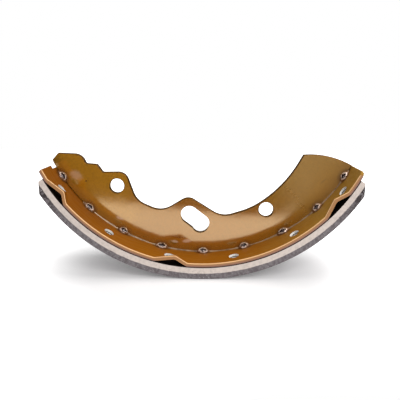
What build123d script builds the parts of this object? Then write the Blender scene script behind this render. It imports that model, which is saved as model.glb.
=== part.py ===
"""Bonded drum brake shoe: a flat web welded into a curved rim, which carries the friction lining.

Millimetres and degrees. The shoe stands on its lining. X runs along the shoe, Y across it and Z up.
The origin is the lowest point of the lining, half way along and half way across.
Places on the shoe are given about the drum axis: an angle from straight down, positive towards +X,
and a height above the inner face of the rim, as a share of that face's radius.
"""

import os
from math import cos, radians, sin

from build123d import *

# Friction lining
drum_radius = 101.5
lining_thickness = 5.7
lining_width = 38.0
lining_end_angle = 57.85
lining_chamfer_angle = 3.4
lining_chamfer_depth = 3.3
lining_edge_break = 0.3

# Adhesive between the lining and the rim
bond_thickness = 0.2
bond_clearance = 0.04
bond_setback = 0.6

# Rim
rim_thickness = 2.0
rim_end_angle = 60.6
rim_edge_break = 0.35
rim_left_corner = 1.0
rim_right_corner = 3.5

# Notch in the left end of the rim, which lets the end of the web through
end_notch_mouth = 12.4
end_notch_floor = 9.6
end_notch_depth = 1.9

# Nibs pressed into both edges of the rim: where each starts, peaks and ends
nibs = ((-57.1, -50.6, -47.3), (-14.9, -8.3, -4.2), (42.0, 48.1, 52.9))
nib_height = 3.2
nib_depth = 10.0
nib_crest_radius = 2.4
nib_foot_radius = 3.0
nib_foot_angle = 1.1
nib_foot_sink = 0.06
nib_tip_share = 0.04

# Rivet holes left open in the rim
rivet_hole_diameter = 5.3
rivet_hole_pitch = 20.85
rivet_hole_count = 6
rivet_hole_inset = 7.3

# Web
web_thickness = 3.0
web_rim_gap = 0.15
web_edge_break = 0.25
web_left_angle = 62.1
web_right_angle = 60.7
web_right_end_radius = 46.0

# Spring holes in the web
spring_hole_diameter = 8.0
left_hole_angle = -39.1
left_hole_height = 0.204
right_hole_angle = 26.4
right_hole_height = 0.161

# Slot in the web for the hold-down, which falls towards the right end
slot_width = 9.6
slot_centres = 7.8
slot_slope = -36.6
slot_angle = -3.0
slot_height = 0.19
slot_step = 0.5

# Free edge of the web from the left end to the right one: angle, height and corner radius.
# Heights and radii are shares of the radius of the rim's inner face, so the outline keeps its shape
# on another drum. The ear stands over the left hole and the hump over the slot.
# The first and the last corner are sharp.
ear_height = left_hole_height + 0.094
hump_height = slot_height + 0.129
web_edge = (
    (-63.3, 0.049, 0),
    (-58.6, 0.169, 0.072),
    (-54.6, 0.158, 0.017),
    (-51.5, 0.208, 0.016),
    (-47.4, 0.204, 0.016),
    (-40.2, ear_height, 0.065),
    (-28.7, 0.194, 0.117),
    (-17.3, 0.194, 0.125),
    (-7.0, hump_height, 0.066),
    (8.1, 0.193, 0.133),
    (21.0, 0.2, 0.44),
    (37.8, 0.217, 0.72),
    (54.0, 0.267, 0),
)

# Projection welds between the web and the rim
weld_count = 9
weld_span = 111.8
weld_middle_angle = 0.3
weld_core_length = 3.6
weld_core_depth = 0.8

# Bead of flash on each side of a weld: distance from its middle, and how far it stands out there.
# The last place is the tip.
weld_flash = 1.6
weld_bead = ((1.1, weld_flash), (2.2, 1.1), (2.9, 0.08))
weld_bead_chamfer = 0.8

rim_width = lining_width
rim_outer_radius = drum_radius - lining_thickness - bond_thickness
rim_inner_radius = rim_outer_radius - rim_thickness
web_radius = rim_inner_radius - web_rim_gap
weld_pitch = weld_span / (weld_count - 1)
drum_centre = (0, drum_radius)
drum_axis = Axis((0, 0, drum_radius), (0, 1, 0))


def polar(radius, angle):
    """Point of the XZ plane at a radius about the drum axis and an angle from straight down."""
    return (radius * sin(radians(angle)), drum_radius - radius * cos(radians(angle)))


def above_rim(angle, height):
    """Point of the XZ plane at a height above the inner face of the rim, as a share of its radius."""
    return polar(rim_inner_radius * (1 - height), angle)


def facing_out(radius, angle):
    """Plane that touches the cylinder of that radius about the drum axis, facing away from the axis."""
    x, z = polar(radius, angle)
    return Plane(origin=(x, 0, z), x_dir=(0, 1, 0), z_dir=(sin(radians(angle)), 0, -cos(radians(angle))))


def arc_strip(inner_radius, outer_radius, end_angle):
    """Face of a curved strip, the same on both sides of straight down."""
    with BuildSketch() as strip:
        with BuildLine():
            outer = [polar(outer_radius, angle) for angle in (-end_angle, 0, end_angle)]
            inner = [polar(inner_radius, angle) for angle in (end_angle, 0, -end_angle)]
            ThreePointArc(*outer)
            Line(outer[-1], inner[0])
            ThreePointArc(*inner)
            Line(inner[-1], outer[0])
        make_face()
    return strip.sketch


def nib_section(base_radius, root_radius, nib, share):
    """Face of one nib seen from the side, shrunk to a share of its size about the foot of its peak."""
    start, peak, end = nib
    sunk = base_radius + nib_foot_sink
    centre = Vector(*polar(base_radius, peak))

    def shrunk(radius, angle):
        return centre + (Vector(*polar(radius, angle)) - centre) * share

    with BuildSketch() as section:
        with BuildLine():
            FilletPolyline(
                shrunk(sunk, start - nib_foot_angle),
                shrunk(base_radius, start),
                shrunk(base_radius - nib_height, peak),
                shrunk(base_radius, end),
                shrunk(sunk, end + nib_foot_angle),
                radius=[radius * share for radius in (nib_foot_radius, nib_crest_radius, nib_foot_radius)],
            )
            Polyline(
                shrunk(sunk, end + nib_foot_angle),
                shrunk(root_radius, end + nib_foot_angle),
                shrunk(root_radius, start - nib_foot_angle),
                shrunk(sunk, start - nib_foot_angle),
            )
        make_face()
    return section.sketch


def nib_wedge(base_radius, root_radius, nib, side):
    """Wedge that narrows from the edge of the rim to a point on the flange."""
    with BuildPart() as wedge:
        with BuildSketch(Plane.XZ.offset(side * rim_width / 2)):
            add(nib_section(base_radius, root_radius, nib, 1))
        with BuildSketch(Plane.XZ.offset(side * (rim_width / 2 - nib_depth))):
            add(nib_section(base_radius, root_radius, nib, nib_tip_share))
        loft(ruled=True)
    return wedge


def drum_distance(edge):
    """Distance of an edge's middle from the drum axis."""
    return Vector(edge.center().X, 0, edge.center().Z - drum_radius).length


# Rim: a strip rolled to the drum's curve, notched, pressed at the nibs and drilled
rivet_hole_angles = [(i - (rivet_hole_count - 1) / 2) * rivet_hole_pitch for i in range(rivet_hole_count)]

with BuildPart() as rim:
    with BuildSketch(Plane.XZ):
        add(arc_strip(rim_inner_radius, rim_outer_radius, rim_end_angle))
    extrude(amount=rim_width / 2, both=True)

    corners = rim.edges().filter_by(lambda edge: abs(edge.length - rim_thickness) < 0.01)
    fillet(corners.filter_by(lambda edge: edge.center().X < 0), rim_left_corner)
    corners = rim.edges().filter_by(lambda edge: abs(edge.length - rim_thickness) < 0.01)
    fillet(corners.filter_by(lambda edge: edge.center().X > 0), rim_right_corner)
    chamfer(rim.faces().sort_by(drum_distance)[-1].edges(), rim_edge_break)
    chamfer(rim.faces().sort_by(drum_distance)[0].edges(), rim_edge_break)

    pressed = [(nib, side) for nib in nibs for side in (-1, 1)]
    for nib, side in pressed:
        ridge = nib_wedge(rim_inner_radius, (rim_inner_radius + rim_outer_radius) / 2, nib, side)
        edge_face = ridge.faces().filter_by(Axis.Y).sort_by(SortBy.AREA)[-1]
        crest = edge_face.edges().filter_by(lambda edge: drum_distance(edge) < rim_inner_radius - bond_clearance)
        add(ridge.part.chamfer(rim_edge_break, None, crest))
    for nib, side in pressed:
        add(nib_wedge(rim_outer_radius, drum_radius, nib, side).part, mode=Mode.SUBTRACT)

    with BuildSketch(facing_out(rim_outer_radius, -rim_end_angle)):
        with BuildLine():
            Polyline(
                (-end_notch_mouth / 2, rim_thickness),
                (-end_notch_mouth / 2, 0),
                (-end_notch_floor / 2, -end_notch_depth),
                (end_notch_floor / 2, -end_notch_depth),
                (end_notch_mouth / 2, 0),
                (end_notch_mouth / 2, rim_thickness),
                close=True,
            )
        make_face()
    extrude(amount=2 * rim_thickness, both=True, mode=Mode.SUBTRACT)

    for angle in rivet_hole_angles:
        with BuildSketch(facing_out(rim_outer_radius, angle)):
            with Locations(
                (-rim_width / 2 + rivet_hole_inset, 0),
                (rim_width / 2 - rivet_hole_inset, 0),
            ):
                Circle(rivet_hole_diameter / 2)
        extrude(amount=nib_height + 2 * rim_thickness, both=True, mode=Mode.SUBTRACT)

# Web: a blank cut from flat plate, with broken edges, a slot and a relief for each weld
with BuildPart() as web:
    with BuildSketch(Plane.XZ):
        with BuildLine():
            corners = [above_rim(angle, height) for angle, height, share in web_edge]
            roundings = [share * rim_inner_radius for angle, height, share in web_edge[1:-1]]
            FilletPolyline(*corners, radius=roundings)
            RadiusArc(corners[-1], polar(web_radius, web_right_angle), web_right_end_radius)
            ThreePointArc(
                polar(web_radius, web_right_angle),
                polar(web_radius, 0),
                polar(web_radius, -web_left_angle),
            )
            Line(polar(web_radius, -web_left_angle), corners[0])
        make_face()
        with Locations(
            above_rim(left_hole_angle, left_hole_height),
            above_rim(right_hole_angle, right_hole_height),
        ):
            Circle(spring_hole_diameter / 2, mode=Mode.SUBTRACT)
    extrude(amount=web_thickness / 2, both=True)
    chamfer(web.faces().filter_by(Axis.Y).edges(), web_edge_break)
    with BuildSketch(Plane.XZ):
        with Locations(Location(above_rim(slot_angle, slot_height), slot_slope)):
            SlotCenterToCenter(slot_centres, slot_width)
            with Locations((slot_centres / 2, -slot_step)):
                Circle(slot_width / 2)
        with Locations(drum_centre):
            first_weld = weld_middle_angle - weld_span / 2
            with PolarLocations(web_radius, weld_count, first_weld - 90, weld_span, endpoint=True):
                Rectangle(2 * weld_core_depth, weld_core_length)
    extrude(amount=web_thickness, both=True, mode=Mode.SUBTRACT)

# Weld: a core that fills its relief in the web, with a bead of flash on each side
with BuildPart() as nugget:
    half_web = web_thickness / 2
    seat = drum_radius - (rim_inner_radius**2 - weld_bead[-1][0] ** 2) ** 0.5
    core_top = drum_radius - web_radius + weld_core_depth
    rising = [(-x, size) for x, size in reversed(weld_bead)]
    stations = rising + list(weld_bead)
    with BuildSketch(Plane.XZ):
        with BuildLine():
            Polyline(
                (-weld_bead[-1][0], seat),
                *[(x, seat + size) for x, size in stations],
                (weld_bead[-1][0], seat),
                close=True,
            )
        make_face()
    extrude(amount=half_web + weld_flash, both=True)
    with BuildSketch(Plane.XY):
        with BuildLine():
            near = [(x, -half_web - size) for x, size in stations]
            far = [(x, half_web + size) for x, size in reversed(stations)]
            Polyline(*near, *far, close=True)
        make_face()
    extrude(amount=core_top + weld_flash, mode=Mode.INTERSECT)
    crest = nugget.faces().sort_by(Axis.Z)[-1].edges().filter_by(Axis.X)
    chamfer(crest, weld_bead_chamfer)
    with BuildSketch(Plane.XZ):
        with Locations((0, seat)):
            Rectangle(4 * weld_bead[-1][0], 4 * weld_flash, align=(Align.CENTER, Align.MIN))
            Rectangle(
                weld_core_length, core_top - seat, align=(Align.CENTER, Align.MIN), mode=Mode.SUBTRACT
            )
    extrude(amount=half_web, both=True, mode=Mode.SUBTRACT)

# Lining: a moulded arc with sloping ends
lining_inner_radius = drum_radius - lining_thickness
lining_chamfer_start = lining_end_angle - lining_chamfer_angle

with BuildPart() as lining:
    with BuildSketch(Plane.XZ):
        with BuildLine():
            outer = [polar(drum_radius, angle) for angle in (-lining_chamfer_start, 0, lining_chamfer_start)]
            inner = [polar(lining_inner_radius, angle) for angle in (lining_end_angle, 0, -lining_end_angle)]
            slope_end = drum_radius - lining_chamfer_depth
            ThreePointArc(*outer)
            Polyline(outer[-1], polar(slope_end, lining_end_angle), inner[0])
            ThreePointArc(*inner)
            Polyline(inner[-1], polar(slope_end, -lining_end_angle), outer[0])
        make_face()
    extrude(amount=lining_width / 2, both=True)
    friction_face = lining.faces().sort_by(Axis.Z)[0]
    chamfer(friction_face.edges().filter_by(GeomType.CIRCLE), lining_edge_break)

# Bond: the film of adhesive between the lining and the rim
with BuildPart() as bond:
    with BuildSketch(Plane.XZ):
        add(arc_strip(rim_outer_radius + bond_clearance, lining_inner_radius, lining_end_angle))
    extrude(amount=rim_width / 2 - bond_setback, both=True)

pieces = {"web": web.part, "rim": rim.part, "bond_film": bond.part, "lining": lining.part}
for i in range(weld_count):
    angle = first_weld + i * weld_pitch
    pieces[f"weld_{i + 1}"] = nugget.part.rotate(drum_axis, -angle)

os.makedirs("parts", exist_ok=True)
for name, piece in pieces.items():
    piece.label = name
    export_step(piece, f"parts/{name}.step")
    print(name, round(piece.volume, 1), "mm3")
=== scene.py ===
import math

import bmesh
import bpy
from mathutils import Matrix, Vector


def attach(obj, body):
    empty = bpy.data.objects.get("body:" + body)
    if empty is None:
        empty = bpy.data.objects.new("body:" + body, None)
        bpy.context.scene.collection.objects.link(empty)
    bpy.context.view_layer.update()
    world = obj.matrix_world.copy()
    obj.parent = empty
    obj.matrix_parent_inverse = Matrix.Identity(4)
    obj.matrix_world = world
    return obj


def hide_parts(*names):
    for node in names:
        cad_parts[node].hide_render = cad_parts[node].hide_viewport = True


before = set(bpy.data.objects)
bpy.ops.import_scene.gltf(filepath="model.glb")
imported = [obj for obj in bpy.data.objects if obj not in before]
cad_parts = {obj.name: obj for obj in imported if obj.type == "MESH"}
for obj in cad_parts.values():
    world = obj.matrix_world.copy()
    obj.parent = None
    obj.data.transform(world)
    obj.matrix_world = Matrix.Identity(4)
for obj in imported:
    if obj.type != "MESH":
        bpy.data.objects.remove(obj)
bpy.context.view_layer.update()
print("brake shoe: CAD frame loaded")

# The drum's axis runs along Y, above the lowest point of the lining. Lengths are in metres.
drumRadius = 0.1015
rimInside = 0.0936
webHalf = 0.0015
rimHalf = 0.019
rideOn = "root"


def clearSelection():
    if bpy.context.object and bpy.context.object.mode != "OBJECT":
        bpy.ops.object.mode_set(mode="OBJECT")
    bpy.ops.object.select_all(action="DESELECT")


def makeActive(obj):
    clearSelection()
    obj.select_set(True)
    bpy.context.view_layer.objects.active = obj


def selectWhere(obj, kind, test):  # in edit mode; kind is verts, edges or faces
    bpy.ops.mesh.select_all(action="DESELECT")
    mesh = bmesh.from_edit_mesh(obj.data)
    for part in getattr(mesh, kind):
        part.select_set(bool(test(part)))
    bmesh.update_edit_mesh(obj.data)


def applyModifier(obj, kind, **values):
    modifier = obj.modifiers.new(kind.lower(), kind)
    for key, value in values.items():
        setattr(modifier, key, value)
    bpy.ops.object.modifier_apply(modifier=modifier.name)


def turnAboutDrum(angle):
    middle = Matrix.Translation((0, 0, drumRadius))
    return middle @ Matrix.Rotation(math.radians(-angle), 4, "Y") @ middle.inverted()


# Materials

class NodeDesk:  # nodes of one material or of the world, with short calls for the kinds used here
    def __init__(self, owner, shader="Principled BSDF"):
        owner.use_nodes = True
        self.tree = owner.node_tree
        self.shader = self.tree.nodes[shader]

    def add(self, kind, inputs=None, **settings):
        node = self.tree.nodes.new(kind)
        for key, value in settings.items():
            setattr(node, key, value)
        for key, value in (inputs or {}).items():
            self.fill(node.inputs[key], value)
        return node

    def fill(self, socket, value):
        if isinstance(value, bpy.types.NodeSocket):
            self.tree.links.new(value, socket)
        elif isinstance(value, tuple) and socket.type == "RGBA":
            socket.default_value = (*value, 1.0)
        else:
            socket.default_value = value

    def feed(self, **sockets):
        for key, value in sockets.items():
            self.fill(self.shader.inputs[key.replace("_", " ")], value)

    def maths(self, operation, *values):
        node = self.add("ShaderNodeMath", dict(enumerate(values)), operation=operation)
        return node.outputs[0]

    def vectors(self, operation, *values):
        return self.add("ShaderNodeVectorMath", dict(enumerate(values)), operation=operation)

    def length(self, vector):
        return self.vectors("LENGTH", vector).outputs["Value"]

    def between(self, value, low, high, start=0.0, end=1.0):  # smooth step from start to end
        inputs = {"Value": value, "From Min": low, "From Max": high, "To Min": start, "To Max": end}
        return self.add("ShaderNodeMapRange", inputs, interpolation_type="SMOOTHSTEP").outputs[0]

    def mix(self, factor, first, second):
        node = self.add("ShaderNodeMix", data_type="RGBA")
        for number, value in ((0, factor), (6, first), (7, second)):
            self.fill(node.inputs[number], value)
        return node.outputs[2]


class ObjectDesk(NodeDesk):  # a material that reads Object coordinates
    def __init__(self, name):
        self.material = bpy.data.materials.new(name)
        super().__init__(self.material)
        self.place = self.add("ShaderNodeTexCoord").outputs["Object"]
        self.spots = self.add("ShaderNodeSeparateXYZ", {"Vector": self.place}).outputs
        drop = self.maths("SUBTRACT", drumRadius, self.spots[2])
        squares = self.maths("MULTIPLY", self.spots[0], self.spots[0]), self.maths("MULTIPLY", drop, drop)
        self.radius = self.maths("SQRT", self.maths("ADD", *squares))  # from the drum's axis
        self.angle = self.maths("ARCTAN2", self.spots[0], drop)  # from straight down
        along = self.maths("MULTIPLY", self.angle, rimInside)
        rolled = {0: along, 1: self.spots[1], 2: self.radius}
        self.rolled = self.add("ShaderNodeCombineXYZ", rolled).outputs[0]  # arc length, Y, radius

    def noise(self, scale, detail=3.0, stretch=None, vector=None):
        vector = vector or self.place
        if stretch:
            vector = self.add("ShaderNodeMapping", {"Vector": vector, "Scale": stretch}).outputs[0]
        inputs = {"Vector": vector, "Scale": scale, "Detail": detail}
        return self.add("ShaderNodeTexNoise", inputs).outputs[0]

    def marks(self, rows):  # soft ovals on the near face, where Y is below zero
        near = self.between(self.spots[1], -0.0002, 0.0, 1.0, 0.0)
        total = 0.0
        for x, z, length, width, tilt, strength in rows:
            inputs = {
                "Vector": self.place,
                "Location": (x / 1000, 0, z / 1000),
                "Rotation": (0, math.radians(tilt), 0),
                "Scale": (length / 1000, 1000.0, width / 1000),
            }
            oval = self.add("ShaderNodeMapping", inputs, vector_type="TEXTURE").outputs[0]
            ragged = self.maths("MULTIPLY_ADD", self.noise(700.0, 3.0), 0.7, self.length(oval))
            total = self.maths("MAXIMUM", total, self.between(ragged, 0.7, 1.5, strength, 0.0))
        return self.maths("MULTIPLY", total, near)

    def bump(self, *layers):  # each layer is a height, a depth in metres and a strength
        normal = None
        for height, depth, strength in layers:
            inputs = {"Height": height, "Distance": depth, "Strength": strength}
            if normal:
                inputs["Normal"] = normal
            normal = self.add("ShaderNodeBump", inputs).outputs[0]
        self.feed(Normal=normal)


def dress(node, material):
    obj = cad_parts[node]
    obj.data.materials.clear()
    obj.data.materials.append(material)


# Lacquered steel of the web and the rim

webLacquer = {
    "gold": (0.34, 0.112, 0.002),
    "red": (0.50, 0.215, 0.008),
    "olive": (0.38, 0.182, 0.018),
    # dark lacquer mottle, also the painted reflection of the rim's flange near the seam
    "darkMottleAndReflection": (0.16, 0.068, 0.002),
    "edge": (0.11, 0.050, 0.016),
    "weldShade": (0.06, 0.022, 0.004),
    "sheenTint": (1.0, 0.76, 0.46),
    "ior": 3.4,
    "gloss": 0.11,
    "dull": 0.38,
    "dullAngles": (0.48, 0.92),  # duller to the right, from one angle to the other
    "rippleDepth": 0.00005,
    "scratchDepth": 0.000003,
    # height of the painted flange reflection above the seam
    "flangeReflectionHeight": 0.009,
    # painted highlights: paler patches standing for glints off small dents in the web
    "paintedHighlight": (0.62, 0.43, 0.31),
    # darker spots at listed places on the near face
    "darkSpot": (0.045, 0.020, 0.008),
    # Marks on the near face: x, z, half length and half width in mm, tilt in degrees, strength
    "paintedHighlightMarks": (
        (-69.4, 49.6, 4.3, 2.8, 28, 0.48),
        (-45.3, 26.0, 2.6, 0.9, 22, 0.75),
        (-14.9, 13.4, 2.2, 0.8, 8, 0.70),
        (-8.4, 13.7, 2.9, 1.1, -4, 0.75),
    ),
    "darkSpotMarks": (
        (-13.0, 16.0, 5.0, 1.1, 6, 0.45),
        (-63.9, 46.3, 0.5, 0.5, 0, 0.95),
        (-48.1, 39.9, 0.9, 0.45, 8, 0.80),
        (-5.8, 21.4, 0.8, 0.5, 37, 0.75),
        (66.0, 47.0, 2.6, 0.6, -42, 0.35),
    ),
}

rimLacquer = {
    "gold": (0.29, 0.092, 0.001),
    "red": (0.215, 0.062, 0.001),
    "olive": (0.36, 0.19, 0.030),
    "darkMottleAndReflection": (0.19, 0.062, 0.001),
    "weldShade": (0.07, 0.025, 0.004),
    "edgeFace": (0.42, 0.21, 0.095),
    "edgeLowShade": (0.33, 0.18, 0.135),
    "edgeInsideHighlight": (0.85, 0.52, 0.26),
    "edgeOutsideShade": (0.20, 0.11, 0.095),
    "undersideShade": (0.02, 0.010, 0.007),
    "hole": (1.0, 0.98, 0.94),
    "holeLine": (0.08, 0.04, 0.025),
    "holeLineRadius": 0.09495,
    "sheen": 0.12,
    "sheenTint": (1.0, 0.80, 0.45),
    "roughness": 0.42,
    "rippleDepth": 0.00006,
    "brushDepth": 0.00001,
}

lacquerShades = {  # angles in radians from straight down, lengths in metres
    "cloudScale": 55.0,
    "redAngles": (-0.75, -0.25),
    "oliveAngles": (0.2, 0.8),
    "weldShadeEdge": (0.0030, 0.0054),
}

# Shared by the beads and the painted shade round them, angles in degrees
weldRow = {"count": 9, "span": 111.8, "middleAngle": 0.3}


# Gold-brown lacquer over steel, redder to the left and more olive to the right
def lacquer(name, look):
    desk = ObjectDesk(name)
    shift = desk.maths("MULTIPLY_ADD", desk.noise(lacquerShades["cloudScale"], 3.0), 0.5, -0.25)
    side = desk.maths("ADD", desk.angle, shift)
    colour = desk.mix(desk.between(side, *lacquerShades["redAngles"]), look["red"], look["gold"])
    colour = desk.mix(desk.between(side, *lacquerShades["oliveAngles"]), colour, look["olive"])
    fine = desk.noise(900.0, 4.0, vector=desk.rolled)
    speckle = desk.between(desk.noise(2600.0, 2.0), 0.62, 0.75, 0.0, 0.35)
    colour = desk.mix(desk.between(fine, 0.35, 0.75, 0.0, 0.25), colour, look["darkMottleAndReflection"])
    colour = desk.mix(speckle, colour, look["darkMottleAndReflection"])
    rise = desk.maths("SUBTRACT", rimInside, desk.radius)
    if "flangeReflectionHeight" in look:  # painted reflection: darker up from the seam, where the web's gloss mirrors the rim's flange
        colour = desk.mix(desk.between(rise, 0.0, look["flangeReflectionHeight"], 0.75, 0.0), colour, look["darkMottleAndReflection"])
    return desk, shadedRoundWelds(desk, colour, rise, look["weldShade"])


# Painted shade round each weld bead, where the web meets the rim, also standing for the welds' heat tint
def shadedRoundWelds(desk, colour, rise, weldShade):
    pitch = math.radians(weldRow["span"] / (weldRow["count"] - 1))
    start = math.radians(weldRow["middleAngle"]) - pitch / 2
    cell = desk.maths("WRAP", desk.maths("SUBTRACT", desk.angle, start), pitch, 0.0)
    along = desk.maths("MULTIPLY", desk.maths("SUBTRACT", cell, pitch / 2), rimInside * 0.75)
    out = desk.maths("SUBTRACT", desk.maths("ABSOLUTE", desk.spots[1]), webHalf)
    spot = desk.add("ShaderNodeCombineXYZ", {0: along, 1: rise, 2: out}).outputs[0]
    reach = desk.maths("MULTIPLY_ADD", desk.noise(500.0, 3.0), 0.0016, desk.length(spot))
    return desk.mix(desk.between(reach, *lacquerShades["weldShadeEdge"], 0.85, 0.0), colour, weldShade)


def webMaterial(look):
    desk, colour = lacquer("webLacquer", look)
    # darker spots at listed places
    colour = desk.mix(desk.marks(look["darkSpotMarks"]), colour, look["darkSpot"])
    # painted highlights in paler patches
    colour = desk.mix(desk.marks(look["paintedHighlightMarks"]), colour, look["paintedHighlight"])
    normal = desk.add("ShaderNodeNewGeometry").outputs["Normal"]
    facing = desk.add("ShaderNodeSeparateXYZ", {"Vector": normal}).outputs[1]
    cut = desk.between(desk.maths("ABSOLUTE", facing), 0.75, 0.95, 1.0, 0.0)  # the plate's cut edges
    colour = desk.mix(cut, colour, look["edge"])
    desk.feed(Base_Color=colour, Metallic=cut, IOR=look["ior"], Specular_Tint=look["sheenTint"])
    turn = desk.maths("MULTIPLY_ADD", desk.noise(60.0, 2.0), 0.10, desk.angle)
    dulling = desk.maths("MAXIMUM", desk.between(turn, *look["dullAngles"]), cut)
    scratches = desk.noise(420.0, 2.0, stretch=(0.25, 1.0, 3.0), vector=desk.rolled)
    gloss = desk.between(scratches, 0.3, 0.7, look["gloss"] - 0.01, look["gloss"] + 0.02)
    desk.feed(Roughness=desk.maths("MULTIPLY_ADD", dulling, look["dull"] - look["gloss"], gloss))
    desk.bump((desk.noise(160.0, 1.0), look["rippleDepth"], 0.5), (scratches, look["scratchDepth"], 0.4))
    return desk.material


def rimMaterial(look):
    desk, colour = lacquer("rimLacquer", look)
    across = desk.maths("ABSOLUTE", desk.spots[1])
    normal = desk.add("ShaderNodeNewGeometry").outputs["Normal"]
    fromAxis = desk.vectors("SUBTRACT", desk.place, (0, 0, drumRadius)).outputs[0]
    outward = desk.vectors("NORMALIZE", desk.vectors("MULTIPLY", fromAxis, (1, 0, 1)).outputs[0]).outputs[0]
    lean = desk.vectors("DOT_PRODUCT", normal, outward).outputs["Value"]  # 1 on the face to the lining
    # painted shade: the rim's face towards the lining is near black
    colour = desk.mix(desk.between(lean, 0.3, 0.7), colour, look["undersideShade"])
    # painted highlight on the inner chamfer of the rim's cut edge, painted shade lower down its face and on
    # the outer chamfer
    lower = desk.between(desk.radius, rimInside + 0.0006, rimInside + 0.0016)
    edgeLightAndShade = desk.mix(lower, look["edgeFace"], look["edgeLowShade"])
    edgeLightAndShade = desk.mix(desk.between(lean, -0.6, -0.3, 1.0, 0.0), edgeLightAndShade, look["edgeInsideHighlight"])
    edgeLightAndShade = desk.mix(desk.between(lean, 0.3, 0.6), edgeLightAndShade, look["edgeOutsideShade"])
    colour = desk.mix(desk.between(across, rimHalf - 0.0004, rimHalf - 0.0003), colour, edgeLightAndShade)
    steep = desk.between(desk.maths("ABSOLUTE", lean), 0.35, 0.6, 1.0, 0.0)
    inHole = desk.maths("MULTIPLY", steep, desk.between(across, rimHalf - 0.004, rimHalf - 0.003, 1.0, 0.0))
    # painted highlight on the rivet holes' walls, crossed by a painted shade line at one radius
    line = desk.maths("ABSOLUTE", desk.maths("SUBTRACT", desk.radius, look["holeLineRadius"]))
    paintedHoleWall = desk.mix(desk.between(line, 0.00014, 0.00024), look["holeLine"], look["hole"])
    colour = desk.mix(inHole, colour, paintedHoleWall)
    desk.feed(Base_Color=colour, Specular_IOR_Level=look["sheen"], Specular_Tint=look["sheenTint"])
    brushed = desk.noise(500.0, 2.0, stretch=(0.2, 2.0, 1.0), vector=desk.rolled)
    desk.feed(Roughness=desk.between(brushed, 0.3, 0.7, look["roughness"] - 0.08, look["roughness"] + 0.1))
    desk.bump((desk.noise(190.0, 1.0), look["rippleDepth"], 0.5), (brushed, look["brushDepth"], 0.4))
    return desk.material


liningLook = {
    "light": (0.72, 0.625, 0.565),
    "lightMottle": (0.58, 0.505, 0.46),
    "dark": (0.22, 0.198, 0.205),
    "darkMottle": (0.15, 0.13, 0.135),
    "endMottle": (0.050, 0.040, 0.040),
    "fleck": (0.50, 0.47, 0.47),
    "glued": (0.012, 0.008, 0.006),
    "splitRadius": 0.09866,
    "gluedRadius": 0.09586,
    "endAngles": (0.72, 0.98),
    "roughness": 0.9,
    "sheen": 0.08,
    "unevenDepth": 0.00012,
    "pitDepth": 0.00008,
}


# Friction material, pale towards the rim, dark and coarse towards the drum
def liningMaterial(look):
    desk = ObjectDesk("frictionLining")
    grain = desk.noise(700.0, 5.0)
    coarse = desk.noise(260.0, 3.0)
    pale = desk.mix(desk.between(grain, 0.40, 0.72, 0.0, 0.7), look["light"], look["lightMottle"])
    dark = desk.mix(desk.between(grain, 0.38, 0.62), look["dark"], look["darkMottle"])
    atEnds = desk.between(desk.maths("ABSOLUTE", desk.angle), *look["endAngles"])
    endSpots = desk.maths("MULTIPLY", atEnds, desk.between(desk.noise(600.0, 4.0), 0.44, 0.52))
    dark = desk.mix(endSpots, dark, look["endMottle"])
    flecks = desk.between(desk.noise(1500.0, 2.0), 0.66, 0.74, 0.0, 0.7)
    dark = desk.mix(flecks, dark, look["fleck"])
    wavy = desk.maths("ADD", desk.radius, desk.maths("MULTIPLY_ADD", coarse, 0.0006, -0.0003))
    split = desk.between(wavy, look["splitRadius"] - 0.00012, look["splitRadius"] + 0.00012)
    colour = desk.mix(split, pale, dark)
    bare = desk.between(desk.radius, look["gluedRadius"] - 0.00004, look["gluedRadius"])
    colour = desk.mix(bare, look["glued"], colour)
    desk.feed(Base_Color=colour, Roughness=look["roughness"], Specular_IOR_Level=look["sheen"])
    pits = desk.between(desk.noise(1100.0, 4.0), 0.45, 0.6)
    desk.bump((coarse, look["unevenDepth"], 0.6), (pits, look["pitDepth"], 0.6))
    return desk.material


filmLook = {
    "colour": (0.006, 0.004, 0.003),
    "smear": (0.014, 0.009, 0.007),
    "roughness": 0.9,
    "sheen": 0.02,
    "grainDepth": 0.00005,
}


def filmMaterial(look):
    desk = ObjectDesk("bondFilm")
    smear = desk.between(desk.noise(300.0, 4.0), 0.4, 0.7)
    colour = desk.mix(smear, look["colour"], look["smear"])
    desk.feed(Base_Color=colour, Roughness=look["roughness"], Specular_IOR_Level=look["sheen"])
    desk.bump((desk.noise(900.0, 3.0), look["grainDepth"], 0.5))
    return desk.material


weldLook = {
    # lip colour: bare metal, lightened as painted highlight
    "lip": (0.90, 0.74, 0.65),
    "core": (0.030, 0.010, 0.010),
    "body": (0.20, 0.085, 0.030),
    "metal": 0.35,
    "roughness": 0.32,
    "coat": 0.5,
    "coatRoughness": 0.12,
    "lumpDepth": 0.00010,
}


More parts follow.
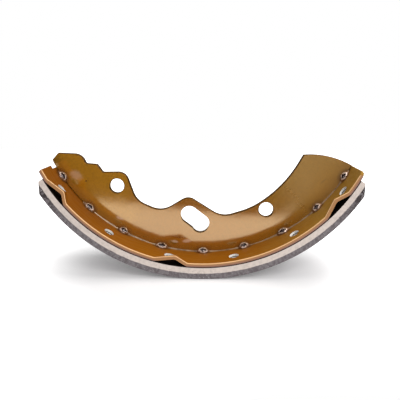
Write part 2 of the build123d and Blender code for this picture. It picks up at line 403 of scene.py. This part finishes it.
# Bare lip round a burnt core on lacquered flash, which the bead's burn and lip attributes mark; the lip and
# the lumps' crests are lightened further as painted highlight, and the core has painted glints
def weldMaterial(look):
    desk = ObjectDesk("weldMetal")
    burn = desk.add("ShaderNodeAttribute", attribute_name="burn").outputs["Fac"]
    lip = desk.add("ShaderNodeAttribute", attribute_name="lip").outputs["Fac"]
    lumps = desk.noise(900.0, 3.0)
    broken = desk.between(desk.noise(760.0, 2.0), 0.40, 0.54, 0.05, 1.0)
    # pale on the lip and on the lumps' crests: partly bare metal, partly painted highlight
    edge = desk.maths("MULTIPLY", desk.between(lip, 0.2, 0.6), broken)
    bare = desk.maths("MAXIMUM", edge, desk.between(lumps, 0.58, 0.75, 0.0, 0.6))
    metal = desk.mix(bare, look["body"], look["lip"])
    # painted glints in the burnt core
    glint = desk.between(desk.noise(1300.0, 1.0), 0.60, 0.68, 0.0, 0.7)
    core = desk.mix(glint, look["core"], look["lip"])
    colour = desk.mix(desk.between(burn, 0.3, 0.7), metal, core)
    desk.feed(Base_Color=colour, Metallic=look["metal"], Roughness=look["roughness"])
    desk.feed(Coat_Weight=look["coat"], Coat_Roughness=look["coatRoughness"])
    desk.bump((lumps, look["lumpDepth"], 0.6))
    return desk.material


seamLook = {
    # paler tone: painted highlight on the lacquer fillet
    "pale": (0.31, 0.19, 0.10),
    "deep": (0.15, 0.075, 0.025),
    "metal": 0.2,
    "roughness": 0.3,
    "coat": 0.5,
    "coatRoughness": 0.15,
    "lumpDepth": 0.00006,
}


def seamMaterial(look):
    desk = ObjectDesk("seamLacquer")
    streaks = desk.noise(260.0, 3.0, stretch=(1.0, 0.3, 0.3), vector=desk.rolled)
    # streaks between the painted highlight tone and the deeper lacquer
    colour = desk.mix(desk.between(streaks, 0.35, 0.7), look["pale"], look["deep"])
    desk.feed(Base_Color=colour, Metallic=look["metal"], Roughness=look["roughness"])
    desk.feed(Coat_Weight=look["coat"], Coat_Roughness=look["coatRoughness"])
    desk.bump((desk.noise(700.0, 2.0), look["lumpDepth"], 0.6))
    return desk.material


dress("web", webMaterial(webLacquer))
dress("rim", rimMaterial(rimLacquer))
dress("lining", liningMaterial(liningLook))
dress("bond_film", filmMaterial(filmLook))
print("brake shoe: plate, rim, lining and bond dressed")

# Welds: one bead modelled at the bottom of the shoe, then copied round the drum axis

weldBead = {
    "halfLength": 0.0038,
    "stand": 0.0023,
    "buried": 0.0002,
    "craterLength": 0.0022,
    "craterHeight": 0.00125,
    "lipWidth": 0.00034,
    "lipRise": 0.00020,
    "craterDepth": 0.0009,
    "lumps": 0.00030,
    "lumpSize": 0.0012,
    "pinches": ((0.45, 0.88), (0.62, 0.82), (0.8, 0.75)),  # share of the length, and how much thinner
    "swell": 0.08,
}


# Almond of flash with a lip round a sunken core, on the near side of the web, then mirrored
def modelBead(values):
    corner = Vector((0, -webHalf, drumRadius - rimInside))
    outward = Vector((0, -1, 1)).normalized()
    upward = Vector((0, 1, 1)).normalized()
    reach, lip = values["halfLength"], values["lipWidth"]

    def inCrater(point, margin):
        place = point - corner
        across = place.x / (values["craterLength"] + margin)
        up = place.dot(upward) / (values["craterHeight"] + margin)
        return place.dot(outward) > 0 and abs(across)**1.4 + abs(up)**1.6 < 1

    clearSelection()
    bpy.ops.mesh.primitive_uv_sphere_add(
        segments=32, ring_count=24, radius=1.0, location=corner, rotation=(0, math.radians(90), 0)
    )
    bead = bpy.context.object
    bead.name = "weldBead"
    bpy.ops.transform.resize(value=(reach, values["stand"], values["stand"]))
    bpy.ops.object.transform_apply(location=True, rotation=True, scale=True)
    bpy.ops.object.mode_set(mode="EDIT")
    for share, pinch in values["pinches"]:  # the ends run out to points
        selectWhere(bead, "verts", lambda v: abs(v.co.x) > share * reach)
        bpy.ops.transform.resize(value=(1.0, pinch, pinch), center_override=corner)
    selectWhere(bead, "faces", lambda f: inCrater(f.calc_center_median(), 0.0))
    bpy.ops.mesh.inset(thickness=lip * 0.5)
    bpy.ops.transform.translate(value=outward * values["lipRise"])
    bpy.ops.mesh.inset(thickness=lip * 0.3)
    bpy.ops.mesh.inset(thickness=lip * 0.3)
    bpy.ops.transform.translate(value=-outward * values["craterDepth"])
    bpy.ops.mesh.inset(thickness=lip * 0.5)
    bpy.ops.transform.translate(value=-outward * values["craterDepth"] * 0.4)
    bpy.ops.mesh.select_all(action="SELECT")
    bpy.ops.mesh.bisect(
        plane_co=(0, -webHalf + values["buried"], 0), plane_no=(0, 1, 0), use_fill=True, clear_outer=True
    )
    bpy.ops.mesh.select_all(action="SELECT")
    bpy.ops.mesh.bisect(
        plane_co=(0, 0, corner.z - values["buried"]), plane_no=(0, 0, -1), use_fill=True, clear_outer=True
    )
    bpy.ops.mesh.select_all(action="SELECT")
    bpy.ops.mesh.normals_make_consistent(inside=False)
    bpy.ops.object.mode_set(mode="OBJECT")
    burn = bead.data.attributes.new("burn", "FLOAT", "POINT")
    ring = bead.data.attributes.new("lip", "FLOAT", "POINT")
    top = max((v.co - corner).dot(outward) for v in bead.data.vertices)
    for vertex, burnt, bare in zip(bead.data.vertices, burn.data, ring.data):
        sunk = top - (vertex.co - corner).dot(outward)
        inside = inCrater(vertex.co, 0.0)
        burnt.value = 1.0 if inside and sunk > 0.5 * values["craterDepth"] else 0.0
        bare.value = 1.0 if inCrater(vertex.co, lip) and not burnt.value else 0.0
    lumps = bpy.data.textures.new("weldLumps", "CLOUDS")
    lumps.noise_scale = values["lumpSize"]
    applyModifier(bead, "SUBSURF", levels=1, render_levels=1)
    applyModifier(bead, "DISPLACE", texture=lumps, strength=values["lumps"], mid_level=0.5)
    applyModifier(bead, "MIRROR", use_axis=(False, True, False), use_mirror_merge=False)
    bpy.ops.object.shade_smooth()
    return bead


weldPaint = weldMaterial(weldLook)
master = modelBead(weldBead)
toCorner = Matrix.Translation((0, 0, drumRadius - rimInside))
for i in range(weldRow["count"]):
    makeActive(master)
    bpy.ops.object.duplicate()
    bead = bpy.context.object
    bead.name = f"weldBead_{i + 1}"
    angle = weldRow["middleAngle"] + weldRow["span"] * (i / (weldRow["count"] - 1) - 0.5)
    swell = 1 + weldBead["swell"] * math.sin(2.3 * i)  # no two beads are quite the same size
    flip = -1 if i % 2 else 1  # every second bead is turned end for end
    shape = toCorner @ Matrix.Diagonal((flip * swell, flip, 1 / swell, 1)) @ toCorner.inverted()
    bead.matrix_world = turnAboutDrum(angle) @ shape
    bpy.ops.object.transform_apply(location=True, rotation=True, scale=True)
    bead.data.materials.append(weldPaint)
    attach(bead, rideOn)
    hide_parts(f"weld_{i + 1}")
bpy.data.objects.remove(master)
print("brake shoe: welds made")

# Seam: lacquer that has run into the corner between the web and the rim

seamStrip = {
    "leg": 0.0006,
    "buried": 0.0001,
    "startAngle": -44.5,
    "endAngle": 58.6,
    "steps": 140,
    "wander": 0.00018,
    "wanderSize": 0.004,
}


def modelSeam(values):
    leg = values["leg"]
    centre = Vector((0, -webHalf - leg, drumRadius - rimInside + leg))
    clearSelection()
    bpy.ops.mesh.primitive_circle_add(
        vertices=24, radius=leg, location=centre, rotation=(0, math.radians(90), 0)
    )
    seam = bpy.context.object
    seam.name = "seamNear"
    bpy.ops.object.transform_apply(location=True, rotation=True, scale=True)
    bpy.ops.object.mode_set(mode="EDIT")
    selectWhere(seam, "verts", lambda v: v.co.y < centre.y - 1e-6 or v.co.z > centre.z + 1e-6)
    bpy.ops.mesh.delete(type="VERT")
    selectWhere(seam, "verts", lambda v: v.co.z > centre.z - 1e-6)
    bpy.ops.mesh.extrude_region_move(TRANSFORM_OT_translate={"value": (0, values["buried"], 0)})
    bpy.ops.mesh.extrude_region_move(TRANSFORM_OT_translate={"value": (0, 0, -leg - values["buried"])})
    selectWhere(seam, "verts", lambda v: v.co.y < centre.y + 1e-6)
    bpy.ops.mesh.extrude_region_move(TRANSFORM_OT_translate={"value": (0, 0, -values["buried"])})
    bpy.ops.mesh.select_all(action="SELECT")
    bpy.ops.mesh.edge_face_add()
    bpy.ops.object.mode_set(mode="OBJECT")
    seam.matrix_world = turnAboutDrum(values["startAngle"])
    bpy.ops.object.transform_apply(location=True, rotation=True, scale=True)
    bpy.ops.object.mode_set(mode="EDIT")
    bpy.ops.mesh.select_all(action="SELECT")
    sweep = math.radians(values["endAngle"] - values["startAngle"])
    bpy.ops.mesh.spin(steps=values["steps"], angle=sweep, center=(0, 0, drumRadius), axis=(0, 1, 0))
    bpy.ops.mesh.select_all(action="SELECT")
    bpy.ops.mesh.remove_doubles(threshold=1e-6)
    bpy.ops.mesh.normals_make_consistent(inside=False)
    bpy.ops.object.mode_set(mode="OBJECT")
    wander = bpy.data.textures.new("seamWander", "CLOUDS")
    wander.noise_scale = values["wanderSize"]
    applyModifier(seam, "DISPLACE", texture=wander, strength=values["wander"], mid_level=0.5)
    bpy.ops.object.shade_smooth()
    return seam


seamPaint = seamMaterial(seamLook)
nearSeam = modelSeam(seamStrip)
makeActive(nearSeam)
bpy.ops.object.duplicate()
farSeam = bpy.context.object
farSeam.name = "seamFar"
farSeam.scale.y = -1
bpy.ops.object.transform_apply(location=True, rotation=True, scale=True)
bpy.ops.object.mode_set(mode="EDIT")
bpy.ops.mesh.select_all(action="SELECT")
bpy.ops.mesh.normals_make_consistent(inside=False)
bpy.ops.object.mode_set(mode="OBJECT")
for seam in (nearSeam, farSeam):
    seam.data.materials.append(seamPaint)
    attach(seam, rideOn)
print("brake shoe: seam made")

# Studio

studio = {
    "paperEdge": (  # the front of the sheet, which the web's gloss mirrors as its tan patch
        (-0.7, -0.158),
        (-0.092, -0.150),
        (-0.024, -0.124),
        (0.003, -0.112),
        (0.026, -0.104),
        (0.7, -0.108),
    ),
    "paperBack": 0.5,
    "paperHalf": 0.7,
    "paperColour": (0.86, 0.85, 0.85),
    "paperRoughness": 0.9,
    "paperLift": (0.15, 1.0),
    "paperNear": (0.055, 0.115),
    "paperGlow": 0.45,
    "roomLight": 0.50,
    "roomDark": 0.03,
    "roomRise": (0.1, 0.6),
    "topPlace": (0.34, 0.04, 0.54),
    "topSize": (0.5, 0.4),
    "topPower": 1.8,
    "frontPlace": (0.38, -0.66, 0.58),
    "frontSize": (0.6, 0.5),
    "frontPower": 4.0,
}

cameraView = {
    "place": (0.007709, -0.240706, 0.093132),
    "lens": 39.4,
    "shiftX": -0.03,
    "shiftY": -0.25,
    "nearLimit": 0.01,
    "down": 0.5,
    "turn": -0.63,
    "roll": 0.238,
}


def layPaper(values):
    half, back, edge = values["paperHalf"], values["paperBack"], values["paperEdge"]
    clearSelection()
    bpy.ops.mesh.primitive_plane_add(size=1.0, location=(0, back / 2, 0))
    paper = bpy.context.object
    paper.name = "paper"
    paper.scale = (2 * half, back, 1)
    bpy.ops.object.transform_apply(location=True, rotation=True, scale=True)
    bpy.ops.object.mode_set(mode="EDIT")
    selectWhere(paper, "edges", lambda e: max(v.co.y for v in e.verts) < 1e-6)
    bpy.ops.mesh.subdivide(number_cuts=len(edge) - 2)
    mesh = bmesh.from_edit_mesh(paper.data)
    front = sorted((v for v in mesh.verts if v.co.y < 1e-6), key=lambda v: v.co.x)
    for vertex, (x, y) in zip(front, edge):  # the front of the sheet is cut on a slant
        vertex.co = (x, y, 0)
    bmesh.update_edit_mesh(paper.data)
    bpy.ops.object.mode_set(mode="OBJECT")
    desk = ObjectDesk("studioPaper")
    rays = desk.add("ShaderNodeLightPath").outputs
    # painted light: to the camera the sheet glows more away from the object, so its shadow fades out
    lift = desk.between(desk.length(desk.place), *values["paperNear"], *values["paperLift"])
    seen = desk.maths("MULTIPLY", rays["Is Camera Ray"], lift)
    glow = desk.maths("MULTIPLY_ADD", rays["Is Glossy Ray"], values["paperGlow"], seen)
    desk.feed(Base_Color=values["paperColour"], Roughness=values["paperRoughness"])
    desk.feed(Emission_Color=(1.0, 1.0, 1.0), Emission_Strength=glow)
    paper.data.materials.append(desk.material)


def lightRoom(values):  # white to the camera, even as light, and darker low down in reflections
    world = bpy.data.worlds.new("studioWorld")
    bpy.context.scene.world = world
    desk = NodeDesk(world, "Background")
    rays = desk.add("ShaderNodeLightPath").outputs
    heading = desk.add("ShaderNodeTexCoord").outputs["Generated"]
    height = desk.add("ShaderNodeSeparateXYZ", {0: heading}).outputs[2]
    mirrored = desk.between(height, *values["roomRise"], values["roomDark"], 1.0)
    inside = {0: rays["Is Glossy Ray"], 2: values["roomLight"], 3: mirrored}
    light = desk.add("ShaderNodeMix", inside).outputs[0]
    shown = desk.add("ShaderNodeMix", {0: rays["Is Camera Ray"], 2: light, 3: 1.0}).outputs[0]
    desk.feed(Color=(1.0, 1.0, 1.0), Strength=shown)


def hangLamp(name, place, size, power):
    clearSelection()
    bpy.ops.object.light_add(type="AREA", location=place)
    lamp = bpy.context.object
    lamp.name = name
    lamp.data.shape = "RECTANGLE"
    lamp.data.size, lamp.data.size_y = size
    lamp.data.energy = power
    lamp.rotation_euler = Vector(place).to_track_quat("Z", "Y").to_euler()


layPaper(studio)
lightRoom(studio)
for side in ("top", "front"):
    hangLamp(f"{side}Softbox", studio[f"{side}Place"], studio[f"{side}Size"], studio[f"{side}Power"])

bpy.ops.object.camera_add()
camera = bpy.context.object
camera.name = "photoCamera"
camera.data.lens = cameraView["lens"]
camera.data.shift_x = cameraView["shiftX"]
camera.data.shift_y = cameraView["shiftY"]
camera.data.clip_start = cameraView["nearLimit"]
camera.matrix_world = (
    Matrix.Translation(cameraView["place"])
    @ Matrix.Rotation(math.radians(-cameraView["turn"]), 4, "Z")
    @ Matrix.Rotation(math.radians(90 - cameraView["down"]), 4, "X")
    @ Matrix.Rotation(math.radians(cameraView["roll"]), 4, "Z")
)
bpy.context.scene.camera = camera
bpy.context.scene.view_settings.view_transform = "Standard"
print("brake shoe: studio lit")
